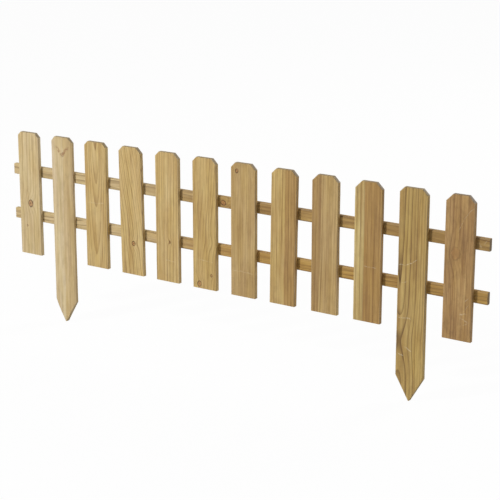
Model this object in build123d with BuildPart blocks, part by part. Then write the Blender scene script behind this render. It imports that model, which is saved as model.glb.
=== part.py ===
"""Low garden fence panel: clipped pickets and two pointed stakes on a pair of rails.

Millimetres, +Z up. The origin lies on the front face of the left stake, on its centre line and at the
ground line. +X runs along the fence to the right stake and +Y runs through the boards to the rails.
"""
import os
from math import radians, tan

from build123d import *

# Boards: pickets and stakes are sawn from one planed stock and stand at an even pitch along X
BOARD_COUNT = 12
LEFT_STAKE_PLACE = 1
RIGHT_STAKE_PLACE = BOARD_COUNT - 1 - LEFT_STAKE_PLACE
BOARD_WIDTH = 56
BOARD_GAP = 34
BOARD_THICKNESS = 9
BOARD_ARRIS = 1.5

# The left stake comes from the outside of the log: its front keeps a flat strip and falls away to both edges
WANE_WIDTH = 16
WANE_DEPTH = 3

# Sawn ends: clipped ears above, a square foot on a picket and a blunted point on a stake
PICKET_HEIGHT = 265
EAR_CLIP = 11
STAKE_DEPTH = 135
POINT_HALF_ANGLE = 30
POINT_FLAT = 3

# Rails: two battens laid flat on the backs of the boards, their heights given as shares of the picket
RAIL_HEIGHT = 23
RAIL_THICKNESS = 10
RAIL_ARRIS = 2
BOTTOM_RAIL_SHARE = 0.313
TOP_RAIL_SHARE = 0.68
LEFT_OVERHANG = 21
RIGHT_OVERHANG = 25

# Places that follow from the sizes above
PITCH = BOARD_WIDTH + BOARD_GAP
FIRST_X = -LEFT_STAKE_PLACE * PITCH
LAST_X = FIRST_X + (BOARD_COUNT - 1) * PITCH
RAIL_LEFT_X = FIRST_X - BOARD_WIDTH / 2 - LEFT_OVERHANG
RAIL_RIGHT_X = LAST_X + BOARD_WIDTH / 2 + RIGHT_OVERHANG
POINT_LENGTH = (BOARD_WIDTH - POINT_FLAT) / 2 / tan(radians(POINT_HALF_ANGLE))

HALF_WIDTH = BOARD_WIDTH / 2
SQUARE_FOOT = [(HALF_WIDTH, 0), (0, 0)]
POINTED_FOOT = [
    (HALF_WIDTH, POINT_LENGTH - STAKE_DEPTH),
    (POINT_FLAT / 2, -STAKE_DEPTH),
    (0, -STAKE_DEPTH),
]


def square_stock():
    """Draw square planed stock with eased long edges, its front on the sketch's X axis."""
    with BuildSketch(mode=Mode.PRIVATE) as stock:
        with Locations((0, BOARD_THICKNESS / 2)):
            RectangleRounded(BOARD_WIDTH, BOARD_THICKNESS, BOARD_ARRIS)
    return stock.sketch


def waney_stock():
    """Draw stock whose front falls away to both edges in arcs tangent to a flat strip."""
    strip_end = HALF_WIDTH - WANE_WIDTH
    with BuildSketch(mode=Mode.PRIVATE) as stock:
        with BuildLine():
            Line((0, 0), (strip_end, 0))
            TangentArc((strip_end, 0), (HALF_WIDTH, WANE_DEPTH), tangent=(1, 0))
            Polyline((HALF_WIDTH, WANE_DEPTH), (HALF_WIDTH, BOARD_THICKNESS), (0, BOARD_THICKNESS))
            mirror(about=Plane.YZ)
        make_face()
        corners = stock.vertices().filter_by(lambda v: abs(v.X) > strip_end + BOARD_ARRIS)
        fillet(corners, BOARD_ARRIS)
    return stock.sketch


def sawn_board(name, place, foot, stock):
    """Saw one board from its stock and write its file.

    Args:
        name: the board's node name.
        place: its place along the fence, counted from the left.
        foot: the right half of its lower outline, from the edge in to the centre line.
        stock: the planed cross section, centred on the board's centre line.
    """
    centre_x = FIRST_X + place * PITCH
    foot_z = foot[-1][1]
    ears = [(0, PICKET_HEIGHT), (HALF_WIDTH - EAR_CLIP, PICKET_HEIGHT), (HALF_WIDTH, PICKET_HEIGHT - EAR_CLIP)]
    with BuildPart() as board:
        # Planed stock, full length
        with BuildSketch(Plane((centre_x, 0, foot_z))):
            add(stock)
        extrude(amount=PICKET_HEIGHT - foot_z)
        # Saw cuts: half the outline, mirrored about the board's centre line
        with BuildSketch(Plane((centre_x, 0, 0), x_dir=(1, 0, 0), z_dir=(0, -1, 0))):
            with BuildLine():
                Polyline(*ears, *foot)
                mirror(about=Plane.YZ)
            make_face()
        extrude(amount=-BOARD_THICKNESS, mode=Mode.INTERSECT)
    board.part.label = name
    export_step(board.part, f"parts/{name}.step")


def planed_rail(name, centre_z):
    """Plane one rail along the whole fence, its front face on the backs of the boards.

    Args:
        name: the rail's node name.
        centre_z: height of its centre line above the ground line.
    """
    with BuildPart() as rail:
        with BuildSketch(Plane.YZ.offset(RAIL_LEFT_X)):
            with Locations((BOARD_THICKNESS + RAIL_THICKNESS / 2, centre_z)):
                RectangleRounded(RAIL_THICKNESS, RAIL_HEIGHT, RAIL_ARRIS)
        extrude(amount=RAIL_RIGHT_X - RAIL_LEFT_X)
    rail.part.label = name
    export_step(rail.part, f"parts/{name}.step")


os.makedirs("parts", exist_ok=True)
planed_rail("top_rail", TOP_RAIL_SHARE * PICKET_HEIGHT)
planed_rail("bottom_rail", BOTTOM_RAIL_SHARE * PICKET_HEIGHT)
sawn_board("left_stake", LEFT_STAKE_PLACE, POINTED_FOOT, waney_stock())
sawn_board("right_stake", RIGHT_STAKE_PLACE, POINTED_FOOT, square_stock())
picket_places = [p for p in range(BOARD_COUNT) if p not in (LEFT_STAKE_PLACE, RIGHT_STAKE_PLACE)]
for number, place in enumerate(picket_places, start=1):
    sawn_board(f"picket_{number:02d}", place, SQUARE_FOOT, square_stock())
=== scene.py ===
"""Looks of a low garden fence panel: planed treated pine, wire staples and a pale studio."""
import logging
import math
from collections.abc import Callable
from dataclasses import dataclass
from enum import Enum

import bpy
import numpy as np
from mathutils import Matrix, Vector


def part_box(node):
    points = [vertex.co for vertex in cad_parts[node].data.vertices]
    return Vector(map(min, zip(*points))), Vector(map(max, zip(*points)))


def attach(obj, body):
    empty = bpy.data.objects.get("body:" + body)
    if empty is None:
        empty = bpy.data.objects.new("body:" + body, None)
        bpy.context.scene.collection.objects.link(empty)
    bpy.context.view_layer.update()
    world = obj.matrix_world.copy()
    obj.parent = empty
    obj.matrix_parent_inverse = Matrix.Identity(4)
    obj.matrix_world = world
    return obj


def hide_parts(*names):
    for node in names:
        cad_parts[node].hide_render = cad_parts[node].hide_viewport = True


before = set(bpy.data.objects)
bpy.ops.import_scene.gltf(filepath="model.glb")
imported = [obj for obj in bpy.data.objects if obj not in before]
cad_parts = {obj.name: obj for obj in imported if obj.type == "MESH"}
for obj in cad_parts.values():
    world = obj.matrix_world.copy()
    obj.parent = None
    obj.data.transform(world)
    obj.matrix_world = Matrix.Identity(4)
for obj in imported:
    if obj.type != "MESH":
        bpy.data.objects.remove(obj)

LOG = logging.getLogger("garden_fence")
MM = 0.001
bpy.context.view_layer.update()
Socket = bpy.types.NodeSocket
Put = Callable[..., Socket]


def node_box(node: str) -> np.ndarray:
    """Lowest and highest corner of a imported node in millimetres, to a thousandth."""
    return np.round(np.array(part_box(node)) / MM, 3)


# Sizes and places in millimetres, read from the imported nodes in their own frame
PICKET_BOX, STAKE_BOX = node_box("picket_01"), node_box("left_stake")
TOP_RAIL_BOX, BOTTOM_RAIL_BOX = node_box("top_rail"), node_box("bottom_rail")
BOARD_WIDTH, BOARD_THICKNESS, PICKET_HEIGHT = np.ptp(PICKET_BOX, axis=0).tolist()
BOARD_PITCH = float(STAKE_BOX[0, 0] - PICKET_BOX[0, 0])
STAKE_DEPTH = float(-STAKE_BOX[0, 2])
RAIL_LEFT, RAIL_RIGHT = TOP_RAIL_BOX[:, 0].tolist()
RAIL_THICKNESS, RAIL_HEIGHT = np.ptp(TOP_RAIL_BOX, axis=0)[1:].tolist()
TOP_RAIL_Z, BOTTOM_RAIL_Z = float(TOP_RAIL_BOX[:, 2].mean()), float(BOTTOM_RAIL_BOX[:, 2].mean())
RAIL_BACK = BOARD_THICKNESS + RAIL_THICKNESS

# What a node's box doesn't show, in millimetres and degrees
BOARD_COUNT = 12
BOARD_ARRIS = 1.5
WANE_WIDTH = 16.0
WANE_DEPTH = 3.0
POINT_FLAT = 3.0
POINT_HALF_ANGLE = 30.0
POINT_LENGTH = (BOARD_WIDTH - POINT_FLAT) / 2 / math.tan(math.radians(POINT_HALF_ANGLE))
RAIL_ARRIS = 2.0


def linear(hex_colour: str) -> tuple[float, float, float, float]:
    """Turn an sRGB hex value into linear red, green, blue and full alpha.

    Args:
        hex_colour: six hex digits.
    Returns:
        The linear colour with alpha 1.
    """
    srgb = np.array([int(hex_colour[i:i + 2], 16) / 255 for i in (0, 2, 4)])
    flat = np.where(srgb <= 0.04045, srgb / 12.92, ((srgb + 0.055) / 1.055) ** 2.4)
    return (*flat.tolist(), 1.0)


class Desk:
    """A node tree with one way to set a node down, fill its sockets and wire it."""

    def __init__(self, tree: bpy.types.NodeTree) -> None:
        """Start from an empty tree."""
        self.tree = tree
        tree.nodes.clear()

    def put(self, kind: str, *inputs: object, out: int | str = 0,
            stops: tuple[tuple[float, float], ...] = (), **settings: object) -> Socket | bpy.types.Node:
        """Add one node.

        Args:
            kind: the node's type without its ShaderNode prefix.
            *inputs: values or sockets for the inputs in order, or a dict that gives them by key.
            out: index or name of the output to hand back.
            stops: places and grey levels of a colour ramp.
            **settings: properties of the node.
        Returns:
            The chosen output socket, or the node itself where it has none.
        """
        node = self.tree.nodes.new("ShaderNode" + kind)
        for key, value in settings.items():
            setattr(node, key, value)
        if stops:
            ramp = node.color_ramp.elements
            while len(ramp) < len(stops):
                ramp.new(1.0)
            for element, (place, grey) in zip(ramp, stops):
                element.position = place
                element.color = (grey, grey, grey, 1.0)
        pairs = []
        for index, value in enumerate(inputs):
            pairs += list(value.items()) if isinstance(value, dict) else [(index, value)]
        for key, value in pairs:
            if isinstance(value, Socket):
                self.tree.links.new(value, node.inputs[key])
            else:
                node.inputs[key].default_value = value
        return node.outputs[out] if len(node.outputs) else node


class Grain(Enum):
    """Which way a timber's fibres run."""

    UPRIGHT = "upright"
    LENGTHWISE = "lengthwise"


@dataclass(frozen=True)
class Tone:
    """Colours of one parcel of treated pine.

    Early is the soft spring wood, late the hard summer line of each ring and heart the browner core of
    the log.
    """

    early: str
    late: str
    heart: str


class Parcel(Enum):
    """The parcels of timber that the panel was nailed up from. Laid from pale at the left to brown at the
    right, their tones are partly the timber's own and partly painted light, the brighter light at the
    fence's left.
    """

    PALE = Tone("CCB88F", "967644", "BEA376")
    BONE = Tone("CEBC9C", "967644", "C2A97D")
    STRAW = Tone("CAB07A", "866230", "B49052")
    HONEY = Tone("C8AC70", "765421", "AA8650")
    TAN = Tone("BDA06C", "7A582A", "A1804F")
    BROWN = Tone("B4905C", "6C4722", "906A3E")
    OLIVE = Tone("D0BA80", "795524", "A67F46")
    FLAME = Tone("BFA263", "5A3C17", "9C763E")
    RAIL = Tone("AF8E53", "60411C", "906C37")
    AMBER = Tone("B99450", "5C3C17", "95692C")


class Stain(Enum):
    """Colours that lie over the wood's own."""

    KNOT_WOOD = "A56C36"
    KNOT_BARK = "452409"
    FORKED_BRANCH = "84532C"
    # Paler wash at the rails' left ends: partly the timber's own tone, partly painted light, the brighter
    # light at the fence's left
    LEFT_PALE_AND_LIT = "CDB78C"
    SALTS = "FBF8E2"
    HANDLED = "9A9184"
    RUBBED = "E9DDBF"
    WORN_ARRIS = "D9CBAE"
    SAWN_END = "76664A"
    OLD_SAWN_END = "50442F"
    RAIL_END = "4E3C20"


@dataclass(frozen=True)
class Knot:
    """A branch stub that the saw cut through, in millimetres on the board's face.

    Push is how far the rings bend round it, in radii. With dark 0 the stub lies deeper in the board, and
    only the rings that it pushes aside show.
    """

    along: float
    across: float
    radius: float
    dark: float = 0.7
    push: float = 1.9


@dataclass(frozen=True)
class Fork:
    """Two branch stubs cut lengthwise that meet below in a V, in millimetres on the board's face."""

    along: float
    across: float
    spread: float
    rise: float


@dataclass(frozen=True)
class Scuff:
    """A pale rubbed line on the face, in millimetres and degrees. Bend is its sag per square millimetre."""

    along: float
    across: float
    length: float
    tilt: float = 0.0
    rub: float = 0.28
    bend: float = 0.0


@dataclass(frozen=True)
class LogCut:
    """Where a timber lay in its log, in millimetres.

    The rings are circles round a pith line. The line passes the timber's centre at (across, deep) and leans
    by the two slopes along the timber. Heart is the radius of the brown core, with 0 for none. Line is the
    share of a ring that its dark summer wood takes up.
    """

    across: float
    deep: float
    lean_across: float = 0.0
    lean_deep: float = 0.0
    ring: float = 5.0
    wander: float = 3.0
    heart: float = 0.0
    contrast: float = 0.8
    line: float = 0.18


@dataclass(frozen=True)
class Spot:
    """Sockets that say where a shaded point lies in its timber, in millimetres.

    Across and deep are measured from the timber's middle, and along runs with the fibres. Seeded is all
    three, moved by the timber's own seed so that no two timbers share a pattern.
    """

    across: Socket
    deep: Socket
    along: Socket
    seeded: Socket

    def mottle(self, put: Put, across: float, along: float, detail: float,
               roughness: float = 0.5) -> Socket:
        """Lay out cloudy noise with cells of a real size.

        Args:
            put: the desk's node function.
            across: millimetres that a cell takes up across the fibres.
            along: millimetres that it takes up along them.
            detail: octaves of finer noise.
            roughness: how strong the finer noise is.
        Returns:
            Values of mostly 0.25 to 0.75.
        """
        scaled = put("VectorMath", self.seeded, (1 / across, 1 / across, 1 / along), operation="MULTIPLY")
        return put("TexNoise", scaled, {"Scale": 1.0, "Detail": detail, "Roughness": roughness}, out="Fac")


@dataclass(frozen=True)
class PlanedPine:
    """Pressure treated pine, planed: straw early wood, brown ring lines, dark knots, a dull satin face.

    The rings are a solid pattern, so faces, edges and sawn ends all show the same log. Fade is the stretch
    over which a paler wash dies away, partly the timber's own tone and partly painted light, the brighter
    light at the fence's left. Wear and grime are the shares of rubbed arris and of smudge.
    """

    name: str
    parcel: Parcel
    cut: LogCut
    centre: tuple[float, float, float]
    seed: float
    grain: Grain = Grain.UPRIGHT
    knots: tuple[Knot, ...] = ()
    scuffs: tuple[Scuff, ...] = ()
    fork: Fork | None = None
    fade: tuple[float, float] | None = None
    ends: Stain = Stain.SAWN_END
    wear: float = 0.35
    grime: float = 0.18

    def build(self) -> bpy.types.Material:
        """Make the material's nodes.

        Returns:
            The finished material.
        """
        material = bpy.data.materials.new(self.name)
        material.use_nodes = True
        put = Desk(material.node_tree).put
        spot = self.spot(put)
        # Slow wander of the fibres: cells 45 mm across and 260 mm long
        wander = spot.mottle(put, 45, 260, 2.0)
        wander = put("MapRange", wander, 0.25, 0.75, -self.cut.wander, self.cut.wander)
        radius, knot_wood, knot_bark = self.knotted(put, spot, self.pith_distance(put, spot, wander))
        late = self.ring_lines(put, radius)
        # Fibres 0.9 mm wide and 45 mm long, and blotches of treatment 25 by 90 mm
        fibre = spot.mottle(put, 0.9, 45, 3.0, 0.6)
        blotch = spot.mottle(put, 25, 90, 3.0, 0.55)

        colour = self.wood(put, spot, radius, late, blotch)
        colour = self.stained(put, spot, colour, fibre)
        if self.knots:
            colour = put("Mix", {0: knot_wood, 6: colour, 7: linear(Stain.KNOT_WOOD.value)},
                         data_type="RGBA", out=2)
            colour = put("Mix", {0: knot_bark, 6: colour, 7: linear(Stain.KNOT_BARK.value)},
                         data_type="RGBA", out=2)
        if self.fork:
            colour = self.forked(put, spot, colour, wander)
        for scuff in self.scuffs:
            colour = self.scuffed(put, spot, colour, scuff)
        colour = self.sawn_and_worn(put, colour, blotch)

        # Planed softwood has a dull satin face. Late wood and fibres stand a quarter of a millimetre proud
        rough = put("MapRange", fibre, 0.3, 0.7, 0.58, 0.74)
        height = put("Math", late, 0.5, fibre, operation="MULTIPLY_ADD")
        bump = put("Bump", {"Strength": 0.35, "Distance": 0.25 * MM, "Height": height})
        dressed = {"Base Color": colour, "Roughness": rough, "IOR": 1.5, "Normal": bump}
        shader = put("BsdfPrincipled", dressed)
        put("OutputMaterial", shader)
        return material

    def spot(self, put: Put) -> Spot:
        """Find a point's place in the timber, turned so that the fibres run along the third axis.

        Args:
            put: the desk's node function.
        Returns:
            The place's sockets.
        """
        x, y, z = self.centre
        upright = self.grain is Grain.UPRIGHT
        shift = (-x, -y, 0.0) if upright else (z, -y, 0.0)
        turn = (0.0, 0.0, 0.0) if upright else (0.0, -math.pi / 2, 0.0)
        place = put("Mapping", put("TexCoord", out="Object"), shift, turn, (1 / MM, 1 / MM, 1 / MM))
        across, deep, along = put("SeparateXYZ", place).node.outputs
        # The seed moves each timber by uneven steps, each longer than a cell of any pattern
        apart = (self.seed * 137.0, self.seed * 71.0, self.seed * 911.0)
        return Spot(across, deep, along, put("VectorMath", place, apart, operation="ADD"))

    def pith_distance(self, put: Put, spot: Spot, wander: Socket) -> Socket:
        """Measure the distance from the leaning pith line, with the fibres' wander added.

        Args:
            put: the desk's node function.
            spot: the point's place.
            wander: the fibres' own wander in millimetres.
        Returns:
            Millimetres from the pith.
        """
        cut = self.cut
        off_across = put("Math", spot.along, -cut.lean_across, -cut.across, operation="MULTIPLY_ADD")
        off_deep = put("Math", spot.along, -cut.lean_deep, -cut.deep, operation="MULTIPLY_ADD")
        side = put("Math", spot.across, off_across, operation="ADD")
        back = put("Math", spot.deep, off_deep, operation="ADD")
        radius = put("VectorMath", put("CombineXYZ", side, back), operation="LENGTH", out="Value")
        return put("Math", radius, wander, operation="ADD")

    def knotted(self, put: Put, spot: Spot,
                radius: Socket) -> tuple[Socket, Socket | float, Socket | float]:
        """Let each knot push the rings round itself by a bell curve and show its own wood and bark.

        Args:
            put: the desk's node function.
            spot: the point's place.
            radius: millimetres from the pith.
        Returns:
            The pushed radius, the mask of the knots' wood and the mask of their bark.
        """
        wood, bark = 0.0, 0.0
        # Bark pockets 5 mm across break the outlines up
        pocket = spot.mottle(put, 5, 5, 2.0) if self.knots else None
        for knot in self.knots:
            near_across = put("Math", spot.across, knot.across, operation="SUBTRACT")
            near_along = put("Math", spot.along, knot.along, operation="SUBTRACT")
            flat = put("CombineXYZ", near_across, put("Math", near_along, 0.8, operation="MULTIPLY"))
            away = put("VectorMath", flat, operation="LENGTH", out="Value")
            # The rings bend within about 2.6 radii
            fall = put("Math", away, 1 / (2.6 * knot.radius), operation="MULTIPLY")
            swell = put("Math", put("Math", fall, 2.0, operation="POWER"), -1.0, operation="MULTIPLY")
            swell = put("Math", swell, operation="EXPONENT")
            radius = put("Math", swell, knot.push * knot.radius, radius, operation="MULTIPLY_ADD")
            # The outline strays by about a quarter of the radius, and bark lines it a millimetre or so thick
            ragged = put("Math", put("Math", pocket, 0.5, operation="SUBTRACT"), 0.9 * knot.radius, away,
                         operation="MULTIPLY_ADD")
            core = put("MapRange", ragged, 1.1 * knot.radius, 0.7 * knot.radius, 0.0, 0.6 * knot.dark,
                       interpolation_type="SMOOTHSTEP")
            rim = put("Math", put("Math", ragged, knot.radius, operation="SUBTRACT"), operation="ABSOLUTE")
            rim = put("MapRange", rim, 0.3, 0.8 + 0.14 * knot.radius, knot.dark, 0.0,
                      interpolation_type="SMOOTHSTEP")
            rim = put("Math", rim, put("MapRange", pocket, 0.35, 0.6, 0.45, 1.0), operation="MULTIPLY")
            pith = put("MapRange", ragged, 0.0, 0.4 * knot.radius, 0.7 * knot.dark, 0.0)
            wood = put("Math", wood, core, operation="MAXIMUM")
            bark = put("Math", bark, put("Math", rim, pith, operation="MAXIMUM"), operation="MAXIMUM")
        return radius, wood, bark

    def ring_lines(self, put: Put, radius: Socket) -> Socket:
        """Turn the radius into uneven rings: a slow rise to each dark line and a sharp drop after it.

        Args:
            put: the desk's node function.
            radius: millimetres from the pith.
        Returns:
            How much late wood there is, 0 to 1.
        """
        ring, line = self.cut.ring, self.cut.line
        # Good and poor summers come in spells of about three rings, and each line has its own strength
        slow = put("Math", radius, 1 / (3.3 * ring), operation="MULTIPLY")
        uneven = put("TexNoise", {"W": slow, "Scale": 1.0, "Detail": 1.0}, noise_dimensions="1D", out="Fac")
        count = put("Math", radius, 1 / ring, put("Math", uneven, 1.6, operation="MULTIPLY"),
                    operation="MULTIPLY_ADD")
        number = put("Math", put("Math", count, operation="FLOOR"), self.seed, operation="ADD")
        strength = put("TexWhiteNoise", {"W": number}, noise_dimensions="1D", out="Value")
        strength = put("MapRange", strength, 0.0, 1.0, 0.45, 1.0)
        stops = ((0.0, 0.04), (0.9 - 2 * line, 0.14), (0.94 - line, 0.55), (0.95, 1.0), (1.0, 0.04))
        rise = put("ValToRGB", put("Math", count, operation="FRACT"), stops=stops, out="Color")
        return put("Math", rise, strength, operation="MULTIPLY")

    def wood(self, put: Put, spot: Spot, radius: Socket, late: Socket, blotch: Socket) -> Socket:
        """Colour the early wood, the brown core and the ring lines.

        Args:
            put: the desk's node function.
            spot: the point's place.
            radius: millimetres from the pith.
            late: how much late wood there is.
            blotch: cloudy noise of the treatment.
        Returns:
            The bare wood's colour.
        """
        tone, heart = self.parcel.value, self.cut.heart
        treated = put("MapRange", blotch, 0.35, 0.7, 0.0, 0.55)
        early = put("Mix", {0: treated, 6: linear(tone.early), 7: linear(tone.heart)},
                    data_type="RGBA", out=2)
        if self.fade:
            # Paler towards the left end: partly the timber's own tone, partly painted light, the brighter
            # light at the fence's left
            left_pale_and_lit = put("MapRange", spot.along, *self.fade, 0.85, 0.0, interpolation_type="SMOOTHSTEP")
            early = put("Mix", {0: left_pale_and_lit, 6: early, 7: linear(Stain.LEFT_PALE_AND_LIT.value)},
                        data_type="RGBA", out=2)
        if heart:
            # The core ends within 1.4 mm
            core = put("MapRange", radius, heart + 0.7, heart - 0.7, 0.0, 0.85,
                       interpolation_type="SMOOTHSTEP")
            early = put("Mix", {0: core, 6: early, 7: linear(tone.heart)}, data_type="RGBA", out=2)
        share = put("Math", late, self.cut.contrast, operation="MULTIPLY")
        return put("Mix", {0: share, 6: early, 7: linear(tone.late)}, data_type="RGBA", out=2)

    def stained(self, put: Put, spot: Spot, colour: Socket, fibre: Socket) -> Socket:
        """Lay fibres, streaks, salts and smudges over the wood.

        Args:
            put: the desk's node function.
            spot: the point's place.
            colour: colour so far.
            fibre: noise of the single fibres.
        Returns:
            The stained colour.
        """
        colour = put("Mix", {0: 0.6, 6: colour, 7: fibre},
                     data_type="RGBA", blend_type="SOFT_LIGHT", out=2)
        # Streaks of single fibre bundles, drawn coarser than life at 4.4 by 170 mm so that they show
        streak = put("MapRange", spot.mottle(put, 4.4, 170, 3.0, 0.65), 0.3, 0.7, 0.05, 0.92)
        colour = put("Mix", {0: 0.42, 6: colour, 7: streak},
                     data_type="RGBA", blend_type="SOFT_LIGHT", out=2)
        # The treatment's salts leave greener, yellower patches about 16 by 120 mm
        patch = put("MapRange", spot.mottle(put, 16, 120, 4.0, 0.6), 0.38, 0.64, 0.0, 0.8)
        colour = put("Mix", {0: patch, 6: colour, 7: linear(Stain.SALTS.value)},
                     data_type="RGBA", blend_type="MULTIPLY", out=2)
        # Handling leaves grey smudges about 9 by 22 mm
        smudge = put("MapRange", spot.mottle(put, 9, 22, 5.0, 0.65), 0.48, 0.68, 0.0, self.grime)
        return put("Mix", {0: smudge, 6: colour, 7: linear(Stain.HANDLED.value)},
                   data_type="RGBA", blend_type="MULTIPLY", out=2)

    def forked(self, put: Put, spot: Spot, colour: Socket, wander: Socket) -> Socket:
        """Draw the reddish V of a forked branch over the colour, on the front only.

        Args:
            put: the desk's node function.
            spot: the point's place.
            colour: colour so far.
            wander: the fibres' own wander in millimetres.
        Returns:
            The colour with the V in it.
        """
        fork, half = self.fork, self.fork.rise / 2
        aside = put("Math", spot.across, fork.across, operation="SUBTRACT")
        aside = put("Math", aside, operation="ABSOLUTE")
        climb = put("Math", spot.along, fork.along, operation="SUBTRACT")
        leg = put("Math", climb, -fork.spread / fork.rise, aside, operation="MULTIPLY_ADD")
        leg = put("Math", put("Math", wander, 1.4, leg, operation="MULTIPLY_ADD"), operation="ABSOLUTE")
        # Each stub fades out within 6 mm to its sides and about as much at its ends
        thick = put("MapRange", leg, 6.0, 0.6, 0.0, 0.75, interpolation_type="SMOOTHSTEP")
        middle = put("Math", put("Math", climb, half, operation="SUBTRACT"), operation="ABSOLUTE")
        span = put("MapRange", middle, half + 2, half - 5, 0.0, 1.0)
        mask = put("Math", thick, span, operation="MULTIPLY")
        # The stubs are broken up into flecks about 4 mm across
        flecks = put("MapRange", spot.mottle(put, 4, 4, 3.0), 0.38, 0.6, 0.1, 1.0)
        mask = put("Math", mask, flecks, operation="MULTIPLY")
        mask = put("Math", mask, put("MapRange", spot.deep, 0.0, 3.0, 1.0, 0.0), operation="MULTIPLY")
        return put("Mix", {0: mask, 6: colour, 7: linear(Stain.FORKED_BRANCH.value)},
                   data_type="RGBA", out=2)

    @staticmethod
    def scuffed(put: Put, spot: Spot, colour: Socket, scuff: Scuff) -> Socket:
        """Lay one broken pale line over the colour, on the front only: a slanted parabola about 2 mm thick.

        Args:
            put: the desk's node function.
            spot: the point's place.
            colour: colour so far.
            scuff: the line's place, length, tilt and bend.
        Returns:
            The colour with the line on it.
        """
        half = scuff.length / 2
        aside = put("Math", spot.across, scuff.across, operation="SUBTRACT")
        line = put("Math", aside, -math.tan(math.radians(scuff.tilt)), spot.along, operation="MULTIPLY_ADD")
        line = put("Math", put("Math", aside, 2.0, operation="POWER"), -scuff.bend, line,
                   operation="MULTIPLY_ADD")
        # The rubbing edge jumped by about 2 mm every 12 mm, and left gaps about 4 mm long
        jump = put("MapRange", spot.mottle(put, 12, 12, 2.0), 0.3, 0.7,
                   scuff.along - 1.6, scuff.along + 1.6)
        gaps = put("MapRange", spot.mottle(put, 4, 4, 2.0), 0.42, 0.58, 0.2, 1.0)
        line = put("Math", put("Math", line, jump, operation="SUBTRACT"), operation="ABSOLUTE")
        thin = put("MapRange", line, 1.3, 0.2, 0.0, scuff.rub)
        span = put("MapRange", put("Math", aside, operation="ABSOLUTE"), half, half - 3, 0.0, 1.0)
        mask = put("Math", put("Math", thin, span, operation="MULTIPLY"), gaps, operation="MULTIPLY")
        front = put("Math", spot.deep, 0.0, operation="LESS_THAN")
        mask = put("Math", mask, front, operation="MULTIPLY")
        return put("Mix", {0: mask, 6: colour, 7: linear(Stain.RUBBED.value)}, data_type="RGBA", out=2)

    def sawn_and_worn(self, put: Put, colour: Socket, blotch: Socket) -> Socket:
        """Darken the sawn ends, which face along the fibres, and pale the rubbed arrises.

        Args:
            put: the desk's node function.
            colour: colour so far.
            blotch: cloudy noise that the wear follows.
        Returns:
            The finished colour.
        """
        facing = put("SeparateXYZ", put("NewGeometry", out="Normal")).node.outputs
        end_on = put("Math", facing[2 if self.grain is Grain.UPRIGHT else 0], operation="ABSOLUTE")
        # Square cuts, clipped ears and the sides of the points all count as sawn
        sawn = put("MapRange", end_on, 0.3, 0.6, 0.0, 0.7)
        colour = put("Mix", {0: sawn, 6: colour, 7: linear(self.ends.value)}, data_type="RGBA", out=2)
        worn = put("Math", put("Attribute", attribute_name="arris", out="Fac"),
                   put("MapRange", blotch, 0.4, 0.65, 0.0, self.wear), operation="MULTIPLY")
        return put("Mix", {0: worn, 6: colour, 7: linear(Stain.WORN_ARRIS.value)}, data_type="RGBA", out=2)


@dataclass(frozen=True)
class GalvanisedWire:
    """Bright zinc coated steel wire: pale grey with a faint cloudy spangle, its clouds in millimetres."""

    name: str = "galvanised_drawn_wire"
    dull: str = "8F9396"
    bright: str = "B9BCBD"
    cloud: float = 2.0

    def build(self) -> bpy.types.Material:
        """Make the material's nodes.

        Returns:
            The finished material.
        """
        material = bpy.data.materials.new(self.name)
        material.use_nodes = True
        put = Desk(material.node_tree).put
        scale = {"Scale": 1 / (self.cloud * MM), "Detail": 2.0}
        cloud = put("TexNoise", put("TexCoord", out="Object"), scale, out="Fac")
        colour = put("Mix", {0: cloud, 6: linear(self.dull), 7: linear(self.bright)},
                     data_type="RGBA", out=2)
        rough = put("MapRange", cloud, 0.3, 0.7, 0.32, 0.52)
        shader = put("BsdfPrincipled", {"Base Color": colour, "Metallic": 1.0, "Roughness": rough})
        put("OutputMaterial", shader)
        return material


def waves(seed: int, u: np.ndarray, v: np.ndarray, count: int = 5) -> np.ndarray:
    """Smooth seeded unevenness: the mean of plane sine waves, each with its own direction and phase.

    Args:
        seed: seed of the wave directions and phases.
        u: first coordinate, in wavelengths.
        v: second coordinate, in wavelengths.
        count: how many waves there are.
    Returns:
        Values of about -1 to 1, shaped as u and v together.
    """
    rng = np.random.default_rng(seed)
    total = 0.0
    for _ in range(count):
        fu, fv, phase = rng.uniform(0.4, 1.6), rng.uniform(-1.3, 1.3), rng.uniform(0, 2 * math.pi)
        total = total + np.sin(2 * math.pi * (fu * u + fv * v) + phase)
    return total / count


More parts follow.
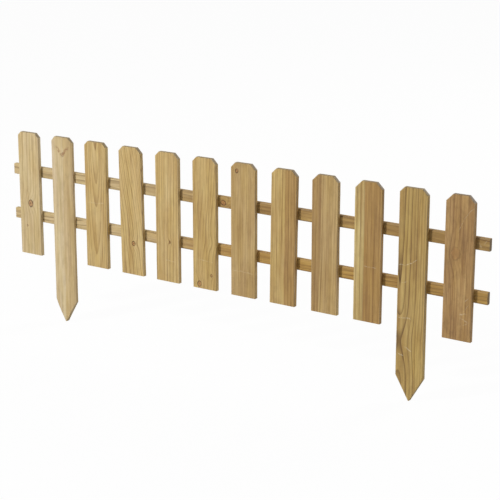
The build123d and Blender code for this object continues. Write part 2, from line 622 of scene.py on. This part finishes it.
@dataclass(frozen=True)
class Section:
    """A planed timber's cross section: a rectangle with rounded arrises, sampled once round its edge."""

    thickness: float
    arris: float
    face_steps: int = 26
    edge_steps: int = 6
    arc_steps: int = 4

    def template(self) -> tuple[np.ndarray, np.ndarray]:
        """Sample the edge: each point is a place on the inner rectangle plus a direction times the arris.

        Returns:
            Inner places from -1 to 1 and outward unit directions, both shaped (points, 2).
        """
        arc = np.linspace(0, math.pi / 2, self.arc_steps + 1)
        face = np.linspace(-1, 1, self.face_steps + 1)[1:-1]
        edge = np.linspace(-1, 1, self.edge_steps + 1)[1:-1]
        corners = ((1, -1, -math.pi / 2), (1, 1, 0.0), (-1, 1, math.pi / 2), (-1, -1, math.pi))
        sides = ((edge * 0 + 1, edge, (1, 0)), (-face, face * 0 + 1, (0, 1)),
                 (edge * 0 - 1, -edge, (-1, 0)), (face, face * 0 - 1, (0, -1)))
        inner, outward = [], []
        for (cx, cy, start), (ex, ey, way) in zip(corners, sides):
            inner += [np.tile((cx, cy), (len(arc), 1)), np.stack((ex, ey), 1)]
            outward += [np.stack((np.cos(start + arc), np.sin(start + arc)), 1), np.tile(way, (len(ex), 1))]
        return np.concatenate(inner).astype(float), np.concatenate(outward).astype(float)

    def sweep(self, along: np.ndarray, half: np.ndarray) -> np.ndarray:
        """Carry the section along a straight line while its half width changes.

        Args:
            along: stations along the timber.
            half: half width at each station.
        Returns:
            Points as (station, point, (across, deep, along)), with deep measured from the section's middle.
        """
        inner, outward = self.template()
        # The arris gives way where the timber is too narrow for it
        arris = np.minimum(self.arris, 0.8 * half)[:, None]
        x = inner[None, :, 0] * (half[:, None] - arris) + outward[None, :, 0] * arris
        y = inner[None, :, 1] * (self.thickness / 2 - arris) + outward[None, :, 1] * arris
        return np.stack((x, y, np.broadcast_to(along[:, None], x.shape)), 2)

    def worn(self) -> np.ndarray:
        """One on the arrises' arcs and nought on the flats, point by point."""
        return (np.abs(self.template()[1]).min(1) > 0.01).astype(np.float32)


def closed_tubes(name: str, points: np.ndarray, sharp: float,
                 arris: np.ndarray | None = None) -> bpy.types.Object:
    """Skin rings of points with quads and close both ends of each tube with one flat face.

    Args:
        name: the object's name.
        points: millimetres, as (tube, ring, point, 3), anticlockwise seen from the last ring.
        sharp: degrees between two faces past which their edge stays sharp.
        arris: optional value for each point of a ring, kept as the attribute of that name.
    Returns:
        The linked object, at the origin.
    """
    tubes, rings, size = points.shape[:3]
    index = np.arange(tubes * rings * size).reshape(tubes, rings, size)
    after = np.roll(index, -1, axis=2)
    quads = np.stack((index[:, :-1], after[:, :-1], after[:, 1:], index[:, 1:]), 3).reshape(-1, 4)
    faces = quads.tolist() + index[:, 0, ::-1].tolist() + index[:, -1].tolist()
    mesh = bpy.data.meshes.new(name)
    mesh.from_pydata((points * MM).reshape(-1, 3).tolist(), [], faces)
    if arris is not None:
        layer = mesh.attributes.new("arris", "FLOAT", "POINT")
        layer.data.foreach_set("value", np.tile(arris, tubes * rings).astype(np.float32))
    mesh.shade_smooth()
    mesh.set_sharp_from_angle(angle=math.radians(sharp))
    mesh.validate()
    piece = bpy.data.objects.new(name, mesh)
    bpy.context.scene.collection.objects.link(piece)
    return piece


class Foot(Enum):
    """How a board's lower end is sawn."""

    SQUARE = "square"
    POINT = "point"


@dataclass
class SawnBoard:
    """One picket or stake: planed stock with clipped ears and a square or pointed foot.

    Place counts from the left. Ears are the clips left and right. Lean is the slope in the board's plane.
    """

    node: str
    place: int
    parcel: Parcel
    cut: LogCut
    foot: Foot = Foot.SQUARE
    ears: tuple[float, float] = (11.0, 11.0)
    knots: tuple[Knot, ...] = ()
    scuffs: tuple[Scuff, ...] = ()
    fork: Fork | None = None
    waney: bool = False
    lean: float = 0.0
    ends: Stain = Stain.SAWN_END
    grime: float = 0.18
    station_step: float = 2.2
    edge_wander: float = 0.35
    knot_hollow: float = 0.2
    sharp: float = 32.0

    @property
    def centre_x(self) -> float:
        """Centre line along the fence."""
        return (self.place - 1) * BOARD_PITCH

    def outline(self) -> tuple[np.ndarray, np.ndarray, np.ndarray]:
        """Half widths of the sawn outline against height: straight lines between the cuts' corners.

        Returns:
            Stations up the board, and the half width to the left and to the right at each.
        """
        half = BOARD_WIDTH / 2
        if self.foot is Foot.POINT:
            foot = [(-STAKE_DEPTH, POINT_FLAT / 2), (POINT_LENGTH - STAKE_DEPTH, half)]
        else:
            foot = [(0.0, half)]
        sides = [foot + [(PICKET_HEIGHT - ear, half), (PICKET_HEIGHT, half - ear)] for ear in self.ears]
        z = np.unique([height for side in sides for height, _ in side])
        pieces = [np.linspace(a, b, max(2, round((b - a) / self.station_step)), endpoint=False)
                  for a, b in zip(z[:-1], z[1:])]
        stations = np.concatenate(pieces + [z[-1:]])
        left, right = (np.interp(stations, *np.array(side).T) for side in sides)
        return stations, left, right

    def surface(self) -> np.ndarray:
        """Sweep the section up the outline, then add the timber's own unevenness.

        The edges wander inward in slow waves, less where the board is narrower than 20 mm. The board may
        lean in its own plane. A waney face falls away towards its long edges as the square of the distance,
        and each knot has dried to a shallow round hollow.

        Returns:
            Points in millimetres, as (station, point, 3).
        """
        z, left, right = self.outline()
        half = (left + right) / 2
        p = Section(BOARD_THICKNESS, BOARD_ARRIS).sweep(z, half)
        across, deep, up = p[..., 0], p[..., 1], p[..., 2]
        inward = np.sign(across) * np.minimum(1, half[:, None] / 10)
        across = across + (right - left)[:, None] / 2
        front = np.clip(0.5 - deep / BOARD_THICKNESS, 0, 1)
        fall = np.zeros_like(across)
        if self.waney:
            flat = BOARD_WIDTH / 2 - WANE_WIDTH
            fall = WANE_DEPTH * (np.clip(np.abs(across) - flat, 0, None) / WANE_WIDTH) ** 2 * front
        for knot in self.knots:
            away = ((across - knot.across) ** 2 + (up - knot.along) ** 2) / (1.6 * knot.radius) ** 2
            fall = fall + self.knot_hollow * knot.dark * np.exp(-away) * front
        # Waves about 120 mm long up the board and 200 mm across it
        uneven = self.edge_wander * np.abs(waves(self.place, up / 120, across / 200))
        x = across - uneven * inward + self.lean * (up - PICKET_HEIGHT / 2)
        y = deep + fall + BOARD_THICKNESS / 2
        return np.stack((x + self.centre_x, y, up), 2)

    def build(self) -> bpy.types.Object:
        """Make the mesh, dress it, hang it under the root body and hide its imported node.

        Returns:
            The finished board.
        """
        section = Section(BOARD_THICKNESS, BOARD_ARRIS)
        board = closed_tubes(f"{self.node}_board", self.surface()[None], self.sharp, section.worn())
        finish = PlanedPine(f"planed_treated_pine_{self.node}", self.parcel, self.cut,
                            (self.centre_x, BOARD_THICKNESS / 2, 0.0), 1.0 + self.place, knots=self.knots,
                            scuffs=self.scuffs, fork=self.fork, ends=self.ends, grime=self.grime)
        board.data.materials.append(finish.build())
        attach(board, "root")
        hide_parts(self.node)
        return board


@dataclass
class Staples:
    """Wire staples shot through the backs of the rails into every board, each flush in its own dent.

    Bend is the radius of the corners and sunk how far the crowns lie under the rails' backs. Slip is how far
    a staple may stray along and up, and turns are the least and most slope of a crown in radians.
    """

    crown: float = 10.0
    wire: float = 1.3
    bend: float = 1.2
    leg: float = 2.0
    spread: float = 13.0
    dent: float = 1.0
    sunk: float = 0.02
    slip: tuple[float, float] = (2.0, 3.0)
    turns: tuple[float, float] = (0.25, 0.75)
    bend_steps: int = 5
    wire_steps: int = 8
    sharp: float = 50.0
    seed: int = 7

    def places(self) -> tuple[np.ndarray, np.ndarray, np.ndarray]:
        """Two staples at every crossing of a board and a rail, each a little out of line.

        Returns:
            Their places along the fence, their heights and their turns in radians.
        """
        rng = np.random.default_rng(self.seed)
        board_x = (np.arange(BOARD_COUNT) - 1) * BOARD_PITCH
        x, z, side = np.meshgrid(board_x, (TOP_RAIL_Z, BOTTOM_RAIL_Z), (-1, 1), indexing="ij")
        slip_along, slip_up = self.slip
        x = x.ravel() + side.ravel() * self.spread + rng.uniform(-slip_along, slip_along, x.size)
        z = z.ravel() + rng.uniform(-slip_up, slip_up, x.size)
        return x, z, rng.uniform(*self.turns, x.size)

    def dents(self, along: np.ndarray, up: np.ndarray) -> np.ndarray:
        """How far the gun pressed the wood in: a flat bell along each crown times a bell across it.

        Args:
            along: places along the fence.
            up: heights, of the same shape.
        Returns:
            Depths in millimetres, of the same shape, the deepest where dents meet.
        """
        x, z, turn = self.places()
        dx, dz = along[..., None] - x, up[..., None] - z
        u = dx * np.cos(turn) + dz * np.sin(turn)
        w = dz * np.cos(turn) - dx * np.sin(turn)
        return self.dent * np.exp(-(u / (0.7 * self.crown)) ** 4 - (w / (2 * self.wire)) ** 2).max(-1)

    def wire_points(self) -> tuple[np.ndarray, np.ndarray, np.ndarray]:
        """Carry a round wire along a straight crown whose ends turn into the wood in two quarter circles.

        Returns:
            One staple's points: along its crown, out of the wood and across the crown, each (ring, point).
        """
        turn = np.linspace(0, math.pi / 2, self.bend_steps)
        corner = self.crown / 2 - self.bend
        arm = np.stack((corner + self.bend * np.sin(turn), self.bend * (np.cos(turn) - 1)), 1)
        half = np.concatenate((arm, [[self.crown / 2, -self.bend - self.leg]]))
        path = np.concatenate((half[::-1] * (-1, 1), half))
        step = np.gradient(path, axis=0)
        step = step / np.linalg.norm(step, axis=1, keepdims=True)
        ring = np.linspace(0, 2 * math.pi, self.wire_steps, endpoint=False)
        u = path[:, None, 0] - step[:, None, 1] * np.cos(ring) * self.wire / 2
        v = path[:, None, 1] + step[:, None, 0] * np.cos(ring) * self.wire / 2
        return u, v, np.broadcast_to(np.sin(ring) * self.wire / 2, u.shape)

    def build(self) -> bpy.types.Object:
        """Set copies of one bent wire out over the crossings, each turned in the plane of the rail's back.

        Returns:
            All staples as one object.
        """
        u, v, w = self.wire_points()
        x, z, turn = (values[:, None, None] for values in self.places())
        px = x + u * np.cos(turn) - w * np.sin(turn)
        pz = z + u * np.sin(turn) + w * np.cos(turn)
        py = RAIL_BACK - self.sunk - self.wire / 2 + np.broadcast_to(v, px.shape)
        staples = closed_tubes("rail_staples", np.stack((px, py, pz), 3), self.sharp)
        staples.data.materials.append(GalvanisedWire().build())
        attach(staples, "root")
        return staples


@dataclass
class PlanedRail:
    """One batten laid flat on the backs of the boards.

    Fade is the stretch along the fence over which a paler wash dies away, partly the timber's own tone and
    partly painted light, the brighter light at the fence's left.
    """

    node: str
    centre_z: float
    parcel: Parcel
    cut: LogCut
    seed: int
    knots: tuple[Knot, ...] = ()
    scuffs: tuple[Scuff, ...] = ()
    fade: tuple[float, float] = (120.0, 460.0)
    stations: int = 729
    face_steps: int = 12
    edge_wander: float = 0.25
    wear: float = 0.12
    sharp: float = 32.0

    def build(self) -> bpy.types.Object:
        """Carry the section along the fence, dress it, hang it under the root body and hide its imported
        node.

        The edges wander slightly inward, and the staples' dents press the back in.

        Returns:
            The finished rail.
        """
        x = np.linspace(RAIL_LEFT, RAIL_RIGHT, self.stations)
        section = Section(RAIL_THICKNESS, RAIL_ARRIS, face_steps=self.face_steps)
        p = section.sweep(x, np.full_like(x, RAIL_HEIGHT / 2))
        across, deep, along = p[..., 0], p[..., 1], p[..., 2]
        # Waves about 260 mm long down the rail and 60 mm across it
        uneven = self.edge_wander * np.abs(waves(self.seed, along / 260, across / 60))
        up = self.centre_z - (across - uneven * np.sign(across))
        behind = np.clip(0.5 + deep / RAIL_THICKNESS, 0, 1)
        middle = RAIL_BACK - RAIL_THICKNESS / 2
        y = deep + middle - behind * Staples().dents(along, up)
        surface = np.stack((along, y, up), 2)
        rail = closed_tubes(f"{self.node}_batten", surface[None], self.sharp, section.worn())
        finish = PlanedPine(f"planed_treated_pine_{self.node}", self.parcel, self.cut,
                            (0.0, middle, self.centre_z), float(self.seed), Grain.LENGTHWISE, self.knots,
                            self.scuffs, fade=self.fade, ends=Stain.RAIL_END, wear=self.wear)
        rail.data.materials.append(finish.build())
        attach(rail, "root")
        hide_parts(self.node)
        return rail


@dataclass(frozen=True)
class Lamp:
    """A square lamp: degrees round and above the fence, metres away and wide, and watts."""

    name: str
    azimuth: float
    elevation: float
    reach: float
    size: float
    watts: float


@dataclass
class Studio:
    """Pale floor, white surround, a key lamp in front, a broad lamp behind and the photo's camera.

    Lengths are metres and angles degrees. Azimuth 0 is in front of the fence.
    """

    azimuth: float = 32.8
    elevation: float = 13.34
    distance: float = 2.6559
    target: tuple[float, float, float] = (0.4662, 0.0, 0.245)
    lens: float = 100.92
    sensor: float = 36.0
    shift: float = -0.15
    key: Lamp = Lamp("key_lamp", -30.0, 34.0, 4.2, 0.45, 130.0)
    behind: Lamp = Lamp("back_lamp", 156.0, 30.0, 4.2, 1.4, 92.0)
    lit: tuple[float, float, float] = (0.405, 0.0, 0.1)
    fill: float = 0.17
    floor_half: float = 30.0
    floor_gap: float = 0.4 * MM
    floor_white: float = 0.97

    @staticmethod
    def aimed(target: tuple[float, float, float], azimuth: float, elevation: float, reach: float) -> Matrix:
        """Stand off from a target and look back at it.

        Args:
            target: the point looked at.
            azimuth: degrees round the fence.
            elevation: degrees above the level.
            reach: metres from the target.
        Returns:
            The place and turn of a camera or lamp.
        """
        a, e = math.radians(azimuth), math.radians(elevation)
        back = Vector((math.sin(a) * math.cos(e), -math.cos(a) * math.cos(e), math.sin(e)))
        turn = (-back).to_track_quat("-Z", "Y").to_matrix().to_4x4()
        return Matrix.Translation(Vector(target) + back * reach) @ turn

    def camera(self) -> None:
        """Place the camera on its line of sight."""
        data = bpy.data.cameras.new("photo_camera")
        data.sensor_width = self.sensor
        data.lens = self.lens
        data.shift_y = self.shift
        camera = bpy.data.objects.new("photo_camera", data)
        camera.matrix_world = self.aimed(self.target, self.azimuth, self.elevation, self.distance)
        bpy.context.scene.collection.objects.link(camera)
        bpy.context.scene.camera = camera

    def hang(self, lamp: Lamp) -> None:
        """Hang one lamp that faces the middle of the fence.

        Args:
            lamp: its name, place, size and power.
        """
        data = bpy.data.lights.new(lamp.name, "AREA")
        data.size = lamp.size
        data.energy = lamp.watts
        hung = bpy.data.objects.new(lamp.name, data)
        hung.matrix_world = self.aimed(self.lit, lamp.azimuth, lamp.elevation, lamp.reach)
        bpy.context.scene.collection.objects.link(hung)

    def surround(self) -> None:
        """White to the eye and to reflections, a plain fill to everything else."""
        world = bpy.data.worlds.new("white_surround")
        bpy.context.scene.world = world
        world.use_nodes = True
        put = Desk(world.node_tree).put
        strength = put("MapRange", self.seen(put), 0.0, 1.0, self.fill, 1.0)
        put("OutputWorld", put("Background", linear("FFFFFF"), strength))

    @staticmethod
    def seen(put: Put) -> Socket:
        """Tell rays that come from the eye, a reflection or through glass from all others.

        Args:
            put: the desk's node function.
        Returns:
            One for such rays and nought for others.
        """
        rays = put("LightPath").node.outputs
        seen = put("Math", rays["Is Camera Ray"], rays["Is Glossy Ray"], operation="MAXIMUM")
        return put("Math", seen, rays["Is Transmission Ray"], operation="MAXIMUM")

    def floor(self) -> None:
        """Lay a wide pale floor under the points: mostly its own white to the eye, and still shaded."""
        half, low = self.floor_half, -STAKE_DEPTH * MM - self.floor_gap
        corners = [(-half, -half, low), (half, -half, low), (half, half, low), (-half, half, low)]
        mesh = bpy.data.meshes.new("pale_floor")
        mesh.from_pydata(corners, [], [(0, 1, 2, 3)])
        floor = bpy.data.objects.new("pale_floor", mesh)
        bpy.context.scene.collection.objects.link(floor)
        material = bpy.data.materials.new("pale_matt_floor")
        material.use_nodes = True
        put = Desk(material.node_tree).put
        # Matt board takes the shadow, and its own white hides where the floor ends
        matt = put("BsdfDiffuse", (0.85, 0.85, 0.85, 1.0))
        own = put("Emission", linear("FFFFFF"), 1.0)
        share = put("Math", self.seen(put), self.floor_white, operation="MULTIPLY")
        put("OutputMaterial", put("MixShader", share, matt, own))
        floor.data.materials.append(material)

    def build(self) -> None:
        """Set up floor, surround, lamps, camera and plain colour handling."""
        bpy.context.scene.view_settings.view_transform = "Standard"
        self.floor()
        self.surround()
        self.hang(self.key)
        self.hang(self.behind)
        self.camera()


def boards() -> list[SawnBoard]:
    """The twelve boards from left to right, each with the log it was cut from.

    Returns:
        The boards in order.
    """
    # From left to right the parcels run pale to brown: partly the boards' own tones, partly painted light,
    # the brighter light at the fence's left
    return [
        SawnBoard("picket_01", 0, Parcel.PALE, LogCut(-40, 22, 0.03, 0.02, 7.0, 4.0, contrast=0.55),
                  ears=(7.5, 9), knots=(Knot(112, 2, 5.8, 1.0), Knot(62, -9, 1.6, 0.7))),
        SawnBoard("left_stake", 1, Parcel.BONE,
                  LogCut(64, 12, 0.01, 0.0, 9.0, 2.5, heart=64, contrast=0.35),
                  Foot.POINT, ears=(10, 10.5), knots=(Knot(229, 4, 3.2, 0.45, 1.2),),
                  fork=Fork(224, 2, 15, 22), waney=True),
        SawnBoard("picket_02", 2, Parcel.STRAW,
                  LogCut(-2, 18, 0.012, -0.045, 3.6, 1.3, contrast=0.7, line=0.24),
                  ears=(8, 9.5), scuffs=(Scuff(137, 0, 44, 2),)),
        SawnBoard("picket_03", 3, Parcel.STRAW, LogCut(-30, 34, -0.18, -0.06, 4.6, 4.0, contrast=0.85),
                  ears=(10, 11), knots=(Knot(66, 5, 3.8, 1.0),), lean=-0.014),
        SawnBoard("picket_04", 4, Parcel.STRAW, LogCut(60, 20, 0.02, 0.01, 6.5, 3.0, contrast=0.7),
                  ears=(9, 10.5), knots=(Knot(83, 6, 2.0, 0.9),), scuffs=(Scuff(44, 8, 26, 0),)),
        SawnBoard("picket_05", 5, Parcel.HONEY, LogCut(70, 30, 0.05, 0.03, 6.5, 5.0, contrast=0.6),
                  ears=(9, 10.5), scuffs=(Scuff(58, 0, 40, 0),),
                  knots=(Knot(9, -13, 4.4, 0.95), Knot(30, 16, 2.2, 0.8), Knot(96, 17, 5.0, 0.0, 1.3))),
        SawnBoard("picket_06", 6, Parcel.TAN, LogCut(86, 24, 0.02, 0.01, 3.4, 3.0, contrast=0.42),
                  ears=(9.5, 10.5), knots=(Knot(249, -14, 3.2, 0.9),), scuffs=(Scuff(50, 0, 46, 0, 0.24),)),
        SawnBoard("picket_07", 7, Parcel.HONEY, LogCut(62, 16, 0.0, 0.0, 6.0, 2.5, heart=62, contrast=0.7),
                  ears=(10, 11), lean=0.014),
        SawnBoard("picket_08", 8, Parcel.TAN, LogCut(-70, 14, 0.01, 0.0, 6.5, 2.5, heart=62, contrast=0.65),
                  ears=(12, 11)),
        SawnBoard("picket_09", 9, Parcel.OLIVE, LogCut(95, 16, 0.0, 0.0, 7.5, 1.2, heart=104, contrast=0.8),
                  ears=(13.5, 12), scuffs=(Scuff(106, 6, 26, -2),)),
        SawnBoard("right_stake", 10, Parcel.FLAME,
                  LogCut(-23, 14, 0.0, -0.008, 4.4, 1.4, contrast=0.95, line=0.14),
                  Foot.POINT, ears=(9, 10.5), knots=(Knot(-22, -26, 15.0, 0.0, 0.5),),
                  scuffs=(Scuff(22, -12, 26, 0, 0.45), Scuff(124, -8, 40, 20, 0.5, 0.012),
                          Scuff(-36, -4, 16, -14, 0.6), Scuff(-48, -18, 14, -6, 0.6),
                          Scuff(90, -14, 16, 14, 0.3))),
        SawnBoard("picket_10", 11, Parcel.BROWN, LogCut(-40, 36, 0.02, 0.02, 4.0, 2.2, contrast=0.6),
                  ears=(13, 12), knots=(Knot(158, -6, 9.0, 0.3, 0.5),), ends=Stain.OLD_SAWN_END, grime=0.36,
                  scuffs=(Scuff(60, 16, 14, 60), Scuff(78, 18, 12, 50), Scuff(50, 12, 16, 10, 0.36),
                          Scuff(40, 14, 18, -20, 0.32), Scuff(33, 18, 14, 30, 0.32),
                          Scuff(228, 12, 30, 57, 0.34, -0.03))),
    ]


def rails() -> list[PlanedRail]:
    """The two rails, each with the log it was cut from.

    Returns:
        The top rail and the bottom rail.
    """
    return [
        PlanedRail("top_rail", TOP_RAIL_Z, Parcel.RAIL,
                   LogCut(10, 30, 0.004, 0.01, 3.6, 2.5, contrast=0.75), 21,
                   knots=(Knot(399, 1, 4.6, 1.0),),
                   scuffs=(Scuff(936, 2, 12, 20), Scuff(945, -4, 10, -30))),
        PlanedRail("bottom_rail", BOTTOM_RAIL_Z, Parcel.AMBER,
                   LogCut(-14, 26, -0.006, 0.008, 3.4, 2.5, contrast=0.8), 22),
    ]


def main() -> None:
    """Build every piece in order and log its face count, then the studio."""
    logging.basicConfig(level=logging.INFO, format="%(message)s")
    for timber in [*boards(), *rails()]:
        LOG.info("%s: %d faces", timber.node, len(timber.build().data.polygons))
    LOG.info("rail_staples: %d faces", len(Staples().build().data.polygons))
    Studio().build()
    bpy.context.view_layer.update()


if __name__ == "__main__":
    main()
